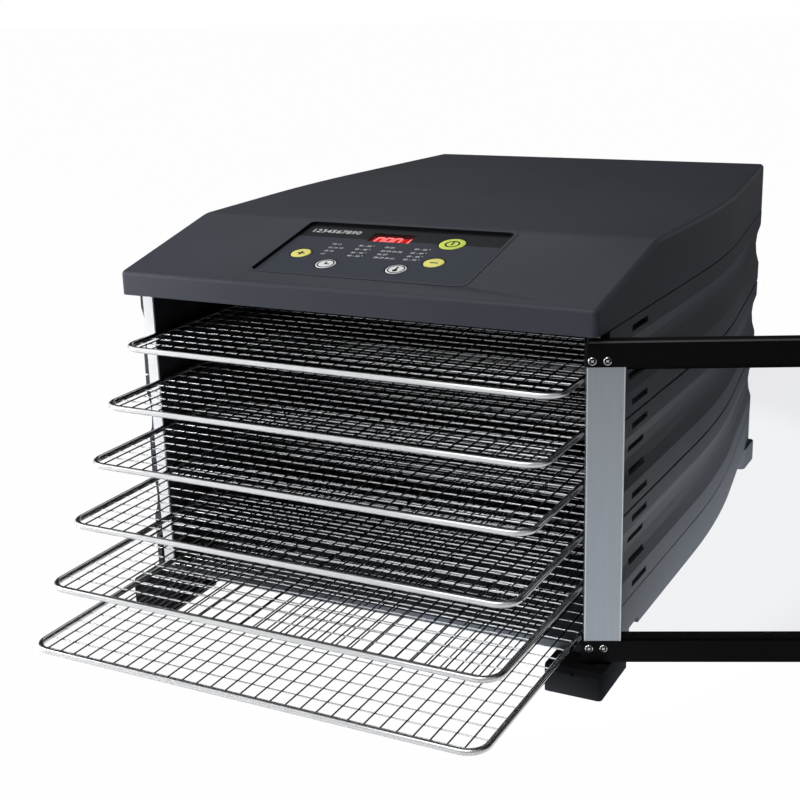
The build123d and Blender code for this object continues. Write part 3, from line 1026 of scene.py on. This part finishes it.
@dataclass
class ControlPanel:
    """Panel plate in the hood's recess, with display, buttons and prints."""

    body: str = "cabinet"
    plate_face: float = -1.8 * MM
    recess: Floats = mm(149.9, 82.9)
    recess_corner: float = 4.0 * MM
    recess_up: float = 60.2 * MM
    corner_steps: int = 5
    borders: tuple[Border, ...] = (
        # dark lining of the recess walls: painted shade in the recess
        Border("panel_recess_shade", *mm(0.0, 0.5, -1.8, -0.05), Finish.DARK_PRINT_AND_SHADE),
        Border("panel_rim", *mm(2.4, 2.4, -0.1, 0.25), Finish.CHARCOAL),
        # fine dark ring outside the rim: a painted shade line
        Border("panel_rim_shade_line", *mm(2.65, 0.25, -0.1, 0.03), Finish.DARK_PRINT_AND_SHADE),
    )
    digits: str = "0801"
    digits_at: Floats = mm(-7.7, 85.6, -5.0)
    digit_size: Floats = mm(4.5, 12.4)
    digit_pitch: float = 6.6 * MM
    digit_rise: float = 0.6 * MM
    digit_lean: float = 0.12
    stroke: float = 0.6 * MM
    cap_face: float = -1.7 * MM
    cap_ink: float = 0.05 * MM
    # dark ring round each button on the plate: painted shade of the gap round the cap
    gap_shade_wall: float = 0.7 * MM
    gap_shade_clear: float = 0.02 * MM
    gap_shade_rise: float = 0.06 * MM
    buttons: tuple[Button, ...] = (
        Button(
            "power",
            *mm(39.1, 81.9, 18.0),
            Finish.LIME,
            ring=mm(5.04, 3.96),
            bars=(mm(1.1, 5.58, 0.0, 0.9),),
        ),
        Button(
            "plus",
            *mm(-56.4, 52.5, 14.0),
            Finish.YELLOW,
            bars=(mm(5.4, 1.3, 0.0, 0.0), mm(1.3, 5.4, 0.0, 0.0)),
        ),
        Button(
            "minus",
            *mm(40.1, 51.6, 14.0),
            Finish.YELLOW,
            bars=(mm(5.4, 1.3, 0.0, 0.0),),
        ),
        Button(
            "time",
            *mm(-30.2, 38.8, 14.0),
            Finish.WHITE,
            ring=mm(5.81, 4.97),
            bars=(mm(1.0, 3.3, -0.5, 1.3), mm(3.0, 1.0, 1.0, -0.2)),
            dot=mm(0.9, 0.0),
        ),
        Button(
            "temperature",
            *mm(20.3, 38.4, 14.0),
            Finish.WHITE,
            ring=mm(5.81, 4.97),
            bars=(mm(1.3, 5.2, 0.0, 1.0),),
            dot=mm(1.7, -1.9),
        ),
    )
    title: str = "1234567890"
    title_size: float = 5.3 * MM
    title_at: Floats = mm(-69.3, 90.2)
    row_heights: Floats = mm(70.2, 64.3, 58.8, 53.6)
    row_size: float = 2.2 * MM
    row_step: int = 5
    columns: tuple[Column, ...] = (
        Column(*mm(-42.6, -22.6), 30, ("10 11", "12 13 14", "15 16", "17")),
        Column(*mm(-3.4, 17.8), 50, ("20 21", "22 23 24 25", "26 27", "28 29 30 31")),
    )

    def at(self, across: float, up: float, out: float) -> Matrix:
        """Frame on the slope: X across, Y up the slope, Z out of it.

        Args:
            across: place across the panel.
            up: place up the slope from the hood's front edge.
            out: height above the hood's slope.

        Returns:
            The frame.
        """
        return (
            Matrix.Translation(HOOD_EDGE)
            @ Matrix.Rotation(HOOD_SLOPE, 4, "X")
            @ Matrix.Translation((across, up, out))
        )

    def build(self) -> None:
        """Make the plate, the display, the buttons and the prints."""
        skin("control_panel", self.body, Finish.PANEL)
        paint_node("display_window", Finish.RED_WINDOW)
        paint_node("display_module", Finish.RED_FIELD)
        paint_node("control_board", Finish.BOARD)
        for border in self.borders:
            self.lay_border(border)
        self.lit_digits()
        self.button_caps()
        self.number_table()

    def lay_border(self, border: Border) -> None:
        """Lay a border: the recess's dark lining or the fine line outside the rim, both
        painted shade, or the low rim.

        Args:
            border: the border.
        """
        width, height = (side + 2 * border.grow for side in self.recess)
        piece = Piece(border.name)
        outline = bmesh.ops.create_grid(
            piece.bm,
            x_segments=1,
            y_segments=1,
            size=0.5,
            matrix=Matrix.Diagonal((width, height, 1.0, 1.0)),
        )["verts"]
        bmesh.ops.bevel(
            piece.bm,
            geom=outline,
            offset=self.recess_corner + border.grow,
            affect="VERTICES",
            segments=self.corner_steps,
            profile=0.5,
            material=-1,
        )
        kept = bmesh.ops.inset_region(
            piece.bm,
            faces=piece.bm.faces[:],
            thickness=border.wall,
            use_boundary=True,
            use_even_offset=True,
        )["faces"]
        middle = [f for f in piece.bm.faces if f not in kept]
        bmesh.ops.delete(piece.bm, geom=middle, context="FACES")
        raised = bmesh.ops.extrude_face_region(piece.bm, geom=piece.bm.faces[:])["geom"]
        rise = (0, 0, border.high - border.low)
        bmesh.ops.translate(piece.bm, vec=rise, verts=vertices(raised))
        place = self.at(0.0, self.recess_up, border.low)
        bmesh.ops.transform(piece.bm, matrix=place, verts=piece.bm.verts[:])
        piece.finish(self.body, border.finish)

    def lit_digits(self) -> None:
        """Make the lit seven-segment digits on the display module."""
        segments = {"0": "abcdef", "1": "bc", "8": "abcdefg"}
        width, height = self.digit_size
        half, side = height / 2, width / 2
        flat = (width - self.stroke, self.stroke, self.digit_rise)
        tall = (self.stroke, half - self.stroke, self.digit_rise)
        bars = {
            "a": (flat, 0, half),
            "b": (tall, side, half / 2),
            "c": (tall, side, -half / 2),
            "d": (flat, 0, -half),
            "e": (tall, -side, -half / 2),
            "f": (tall, -side, half / 2),
            "g": (flat, 0, 0),
        }
        piece = Piece("display_digits")
        leaning = Matrix.Identity(4)
        leaning[0][1] = self.digit_lean
        across, up, out = self.digits_at
        for index, digit in enumerate(self.digits):
            offset = (index - (len(self.digits) - 1) / 2) * self.digit_pitch
            place = self.at(across + offset, up, out) @ leaning
            for letter in segments[digit]:
                size, x, y = bars[letter]
                piece.block(size, (x, y, self.digit_rise / 2), place)
        piece.finish(self.body, Finish.RED_DIGIT)

    def button_caps(self) -> None:
        """Colour the button caps, print their signs and paint a shade ring round each
        on the plate.
        """
        # painted shade of the gaps round the caps: a dark ring round each on the plate
        gap_shades = Piece("button_gap_shades")
        for button in self.buttons:
            body = f"button_{button.name}"
            skin(body, body, button.finish)
            print_piece = Piece(f"button_{button.name}_print")
            top = self.at(button.across, button.up, self.cap_face)
            button.sign(print_piece, top, self.cap_ink)
            print_piece.finish(body, Finish.DARK_PRINT_AND_SHADE)
            gap_shades.ring(
                button.width / 2 + self.gap_shade_wall,
                button.width / 2 + self.gap_shade_clear,
                self.gap_shade_rise,
                self.at(button.across, button.up, self.plate_face),
            )
        gap_shades.finish(self.body, Finish.DARK_PRINT_AND_SHADE)

    def number_table(self) -> None:
        """Print plain numbers: one row along the strip and a small table below it."""
        piece = Piece("panel_numbers")
        face = self.plate_face
        piece.numerals(self.title, self.title_size, self.at(*self.title_at, face))
        for column in self.columns:
            for row, (up, label) in enumerate(zip(self.row_heights, column.labels)):
                low = column.first + self.row_step * row
                value = f"{low} - {low + self.row_step} \u00b0"
                pairs = ((label, column.label_at), (value, column.value_at))
                for words, start in pairs:
                    piece.numerals(words, self.row_size, self.at(start, up, face))
        piece.finish(self.body, Finish.WHITE_INK)


@dataclass
class WireTrays:
    """Six pull-out trays of bright round wire."""

    count: int = 6
    rod: float = 4.0 * MM
    rod_smooth: float = 50.0
    corner: float = 12.0 * MM
    wire: float = 0.95 * MM
    wire_sides: int = 7
    wire_smooth: float = 60.0
    wire_bite: float = 0.6 * MM
    layer_share: float = 0.9
    long_pitch: float = 10.0 * MM
    long_count: int = 29
    long_clear: float = 1.0 * MM
    cross_pitch: float = 12.5 * MM
    cross_count: int = 26
    cross_first: float = 4.0 * MM
    cross_clear: float = 7.5 * MM
    joint_at: float = 0.42
    joint_wide: float = 0.5 * MM
    joint_share: float = 1.02
    joint_sides: int = 16

    def build(self) -> None:
        """Make every tray from its node's place."""
        for number in range(1, self.count + 1):
            self.tray(number)

    def tray(self, number: int) -> None:
        """Make one tray: the bent rod, the two layers of wire and the rod's joint.

        Args:
            number: number of the tray from the top.
        """
        low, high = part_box(f"tray_{number}_frame")
        centre = (low + high) / 2
        width = high.x - low.x - self.rod
        depth = high.y - low.y - self.rod
        body, radius = f"tray_{number}", self.rod / 2
        frame_rod = Piece(f"tray_{number}_rod")
        frame_rod.rounded_loop(width, depth, self.corner, radius, centre)
        replaced = (f"tray_{number}_frame",)
        frame_rod.finish(body, Finish.CHROME, self.rod_smooth, replaced)
        self.wires(number, "long", Finish.LONG_CHROME, self.long_runs(centre, depth))
        cross_runs = self.cross_runs(centre, width, depth)
        self.wires(number, "cross", Finish.CROSS_CHROME, cross_runs)
        joint = Piece(f"tray_{number}_rod_joint")
        along = (self.joint_at - 0.5) * depth
        place = centre + Vector((width / 2, along, 0))
        half = Vector((0, self.joint_wide / 2, 0))
        thick = radius * self.joint_share
        joint.rod(place - half, place + half, thick, self.joint_sides)
        joint.finish(body, Finish.ROD_JOINT)

    def wires(self, number: int, layer: str, finish: Finish, runs: list[Run]) -> None:
        """Make one layer of a tray's wires.

        Args:
            number: number of the tray.
            layer: name of the layer.
            finish: its finish.
            runs: both ends of each wire.
        """
        piece = Piece(f"tray_{number}_{layer}_wires")
        for start, end in runs:
            piece.rod(start, end, self.wire / 2, self.wire_sides)
        replaced = (f"tray_{number}_mesh",)
        piece.finish(f"tray_{number}", finish, self.wire_smooth, replaced)

    def long_runs(self, centre: Vector, depth: float) -> list[Run]:
        """Ends of the upper wires, which run from front to back.

        Args:
            centre: centre of the tray.
            depth: depth between rod centres.

        Returns:
            Both ends of each wire.
        """
        runs = []
        height = centre.z + self.wire / 2 * self.layer_share
        for index in range(self.long_count):
            x = (index - (self.long_count - 1) / 2) * self.long_pitch
            outer = index in (0, self.long_count - 1)
            clear = self.rod / 2 - self.wire_bite + (self.long_clear if outer else 0.0)
            middle = Vector((x, centre.y, height))
            reach = Vector((0, depth / 2 - clear, 0))
            runs.append((middle - reach, middle + reach))
        return runs

    def cross_runs(self, centre: Vector, width: float, depth: float) -> list[Run]:
        """Ends of the lower wires, which run from side to side.

        Args:
            centre: centre of the tray.
            width: width between rod centres.
            depth: depth between rod centres.

        Returns:
            Both ends of each wire.
        """
        runs = []
        height = centre.z - self.wire / 2 * self.layer_share
        first = centre.y - depth / 2 + self.cross_first
        for index in range(self.cross_count):
            y = first + index * self.cross_pitch
            outer = index in (0, self.cross_count - 1)
            clear = self.cross_clear if outer else self.rod / 2 - self.wire_bite
            reach = width / 2 - clear
            runs.append((Vector((-reach, y, height)), Vector((reach, y, height))))
        return runs


@dataclass
class Door:
    """Glass door on two pins, swung open."""

    body: str = "door"
    hinge: Point = (0.158, -0.2215, 0.0)
    open_angle: float = radians(204.0)
    inner_face: float = -4.5 * MM
    pane: Floats = mm(19.3, 297.7)
    opening: Floats = mm(32.4, 202.0)
    seal_heights: Floats = mm(2.8, 1.8)
    seal_depth: float = 5.6 * MM
    # painted highlights along the stiles' edges: the stiles' sides, and the radius and
    # depth of the bright rods
    stile_sides: tuple[Floats, ...] = (mm(-2.5, 19.3), mm(297.7, 319.5))
    stile_highlight_radius: float = 0.45 * MM
    stile_highlight_sunk: float = 0.525 * MM
    # painted highlight along the upper rail's top edge: its ends, height, radius and
    # depth
    rail_highlight_ends: Floats = mm(-2.0, 318.0)
    rail_highlight_height: float = 216.485 * MM
    rail_highlight_radius: float = 0.585 * MM
    rail_highlight_sunk: float = 0.27 * MM
    screw_heights: Floats = mm(205.7, 27.6)
    screw_ends: Floats = mm(0.5, 9.0, 315.5, 307.0)
    screw_outline: tuple[Floats, ...] = (
        mm(0.0, 0.55),
        mm(1.716, 0.55),
        mm(1.924, 1.0),
        mm(2.236, 0.85),
        mm(2.496, 0.4),
        mm(2.6, 0.0),
        mm(0.0, 0.0),
    )
    screw_steps: int = 20
    # dark disc in each head's middle: painted shade of the screw's socket
    socket: Floats = mm(1.794, 0.03)
    socket_shade_height: float = 0.56 * MM
    cross: Floats = mm(2.08, 0.312, 0.05)
    cross_height: float = 0.62 * MM
    cross_turns: Floats = (pi / 4, 3 * pi / 4)

    def at(self, along: float, up: float) -> Matrix:
        """Frame on the inner face, with Z out of it towards the chamber side.

        Args:
            along: distance from the hinge along the door.
            up: height.

        Returns:
            The frame.
        """
        return (
            Matrix.Translation(self.hinge)
            @ Matrix.Rotation(self.open_angle + pi, 4, "Z")
            @ Matrix.Translation((along, self.inner_face, up))
            @ Matrix.Rotation(pi / 2, 4, "X")
        )

    def build(self) -> None:
        """Finish the pane, rails, stiles, pins and handle, and add the small pieces."""
        paint_node("door_glass", Finish.GLASS)
        for end in ("top", "bottom"):
            skin(f"door_rail_{end}", self.body, Finish.BLACK)
            skin(f"door_pin_{end}", self.body, Finish.PIN)
        for side in ("hinge", "handle"):
            paint_node(f"door_stile_{side}", Finish.SATIN)
        skin("door_handle", self.body, Finish.SATIN)
        self.screws()
        self.seals()
        self.edge_lines()

    def seals(self) -> None:
        """Add the glazing seals where the pane enters the rails."""
        piece = Piece("door_seals")
        near, far = self.pane
        for edge, height, sign in zip(self.opening, self.seal_heights, (1, -1)):
            place = self.at((near + far) / 2, edge + sign * height / 2)
            size = (far - near, height, self.seal_depth)
            piece.block(size, (0, 0, self.inner_face), place)
        piece.finish(self.body, Finish.BLACK)

    def edge_lines(self) -> None:
        """Add painted highlights along the stiles' edges and along the upper rail's top
        edge.
        """
        # painted highlights: thin bright rods along both edges of each stile
        bright = Piece("door_stile_highlights")
        radius, sunk = self.stile_highlight_radius, Vector((0, 0, -self.stile_highlight_sunk))
        for near, far in self.stile_sides:
            for along in (near + radius, far - radius):
                low, high = (self.at(along, up) @ sunk for up in self.opening)
                bright.rod(low, high, radius)
        bright.finish(self.body, Finish.STILE_HIGHLIGHT)
        # painted highlight: a thin grey rod along the upper rail's top edge
        rail_highlight = Piece("door_rail_highlight")
        sunk = Vector((0, 0, -self.rail_highlight_sunk))
        ends = (self.at(along, self.rail_highlight_height) @ sunk for along in self.rail_highlight_ends)
        rail_highlight.rod(*ends, self.rail_highlight_radius)
        rail_highlight.finish(self.body, Finish.RAIL_HIGHLIGHT)

    def screws(self) -> None:
        """Add the cross-head screws at both ends of the rails, with painted shade in
        their sockets.
        """
        heads = Piece("door_screws")
        # painted shade of the sockets: thin dark discs in the heads' middles
        slots = Piece("door_screw_socket_shades")
        lifted = Matrix.Translation((0, 0, self.socket_shade_height))
        for up in self.screw_heights:
            for along in self.screw_ends:
                place = self.at(along, up)
                heads.turned(self.screw_outline, place, self.screw_steps)
                slots.disc(*self.socket, place @ lifted, self.screw_steps)
                for angle in self.cross_turns:
                    turn = place @ Matrix.Rotation(angle, 4, "Z")
                    heads.block(self.cross, (0, 0, self.cross_height), turn)
        heads.finish(self.body, Finish.SCREW)
        slots.finish(self.body, Finish.DARK_PRINT_AND_SHADE)


@dataclass(frozen=True)
class Lamp:
    """A soft square lamp, with its place and side in metres and its power in watts."""

    name: str
    place: Point
    side: float
    power: float

    def hang(self, aim: Point) -> None:
        """Hang the lamp.

        Args:
            aim: point that the lamp faces.
        """
        data = bpy.data.lights.new(self.name, "AREA")
        data.size = self.side
        data.energy = self.power
        ahead = Vector(aim) - Vector(self.place)
        turn = ahead.to_track_quat("-Z", "Y").to_matrix().to_4x4()
        made = add_object(self.name, data)
        made.matrix_world = Matrix.Translation(self.place) @ turn


@dataclass
class Studio:
    """Camera, pale floor, white surroundings and soft lamps.

    The glow is the light that the floor throws up under the object, and the sheet is
    the white part of the floor in front, which metal mirrors.
    """

    camera_place: Point = (0.410597, -0.934862, 0.412849)
    yaw: float = radians(27.7189)
    pitch: float = radians(-16.9143)
    roll: float = radians(-1.7502)
    lens: float = 62.03
    sensor: float = 36.0
    fill: float = 0.07
    mirrored: float = 0.05
    whiteness: float = 0.985
    floor_half: float = 12.0
    floor_colour: Colour = (0.60, 0.62, 0.66)
    floor_roughness: float = 0.9
    glow: float = 6.2
    glow_tint: Colour = (0.88, 0.95, 1.0)
    glow_centre: Floats = (0.08, 0.05)
    glow_half: Floats = (0.16, 0.28)
    glow_edge: Floats = (1.0, 1.34)
    sheet_centre: Point = (0.0, -0.65, 0.0)
    sheet_edge: Floats = (0.65, 1.05)
    aim: Point = (0.0, 0.0, 0.12)
    lamps: tuple[Lamp, ...] = (
        Lamp("key", (-0.75, -1.5, 1.05), 1.2, 1.5),
        Lamp("left", (-0.6, -0.5, 0.32), 0.35, 3.3),
        Lamp("overhead", (-0.1, -1.1, 1.9), 1.4, 22.5),
        Lamp("behind_right", (0.75, 1.5, 0.45), 0.8, 1.2),
        Lamp("behind_left", (-0.8, 1.1, 1.5), 0.8, 2.0),
    )

    def build(self) -> None:
        """Set up everything round the object."""
        self.camera()
        self.floor()
        self.surroundings()
        for lamp in self.lamps:
            lamp.hang(self.aim)
        bpy.context.scene.view_settings.view_transform = "Standard"

    def camera(self) -> None:
        """Place the camera at the photograph's viewpoint."""
        data = bpy.data.cameras.new("view")
        data.lens = self.lens
        data.sensor_width = self.sensor
        right = Vector((cos(self.yaw), sin(self.yaw), 0.0))
        level_ahead = Vector((-sin(self.yaw), cos(self.yaw), 0.0))
        ahead = cos(self.pitch) * level_ahead + Vector((0.0, 0.0, sin(self.pitch)))
        up = right.cross(ahead)
        rolled_right = cos(self.roll) * right + sin(self.roll) * up
        rolled_up = -sin(self.roll) * right + cos(self.roll) * up
        turn = Matrix((rolled_right, rolled_up, -ahead)).transposed().to_4x4()
        made = add_object("view", data)
        made.matrix_world = Matrix.Translation(self.camera_place) @ turn
        bpy.context.scene.camera = made

    def rays(self, graph: Graph) -> tuple[Value, Value]:
        """Which rays meet the surroundings.

        Args:
            graph: graph that takes the nodes.

        Returns:
            1 for rays seen directly or through glass, and 1 for mirrored rays.
        """
        camera, glossy, through = (
            graph.node("ShaderNodeLightPath", {}, {}, name)
            for name in ("Is Camera Ray", "Is Glossy Ray", "Is Transmission Ray")
        )
        return camera.larger(through), glossy

    def floor(self) -> None:
        """Make the pale floor, which shows white and keeps the object's shadow."""
        bm = bmesh.new()
        bmesh.ops.create_grid(bm, x_segments=1, y_segments=1, size=self.floor_half)
        mesh = bpy.data.meshes.new("floor")
        bm.to_mesh(mesh)
        bm.free()
        mesh.materials.append(self.floor_finish())
        made = add_object("floor", mesh)

    def floor_finish(self) -> bpy.types.Material:
        """Make the floor's material, with the light that it throws up from below.

        Returns:
            The material.
        """
        graph = Graph.of_material("floor_finish")
        seen, glossy = self.rays(graph)
        (x, y), (half_x, half_y) = self.glow_centre, self.glow_half
        outward = graph.place(
            scale=(1 / half_x, 1 / half_y, 1.0), shift=(-x / half_x, -y / half_y, 0.0)
        )
        faded = graph.length(outward).between(*self.glow_edge)
        graph.dress(
            Base_Color=self.floor_colour,
            Roughness=self.floor_roughness,
            Specular_IOR_Level=0.0,
            Emission_Color=graph.blend(faded, self.glow_tint, NO_LIGHT),
            Emission_Strength=self.glow,
        )
        away = graph.length(graph.place(shift=tuple(-c for c in self.sheet_centre)))
        dim = (self.mirrored,) * 3
        sheet = graph.blend(away.between(*self.sheet_edge), ALL_WHITE, dim)
        mirrored, white = (
            graph.node("ShaderNodeEmission", {}, {"Color": colour, "Strength": 1.0})
            for colour in (sheet, ALL_WHITE)
        )
        unseen = graph.layer(glossy, graph.plain(), mirrored)
        graph.show(graph.layer(seen * self.whiteness, unseen, white))
        return graph.owner

    def surroundings(self) -> None:
        """Make the world: white where it is seen, dimmer where it lights the object."""
        graph = Graph(bpy.data.worlds.new("surroundings"))
        seen, glossy = self.rays(graph)
        dim = glossy * self.mirrored + (1 - glossy) * self.fill
        graph.dress(Color=ALL_WHITE, Strength=seen + (1 - seen) * dim)
        bpy.context.scene.world = graph.owner


def main() -> None:
    """Build the sub-assemblies in order."""
    logging.basicConfig(level=logging.INFO, format="%(name)s: %(message)s")
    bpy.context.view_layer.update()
    for part in (Cabinet(), ControlPanel(), WireTrays(), Door(), Studio()):
        log.info("building %s", type(part).__name__)
        part.build()


if __name__ == "__main__":
    main()
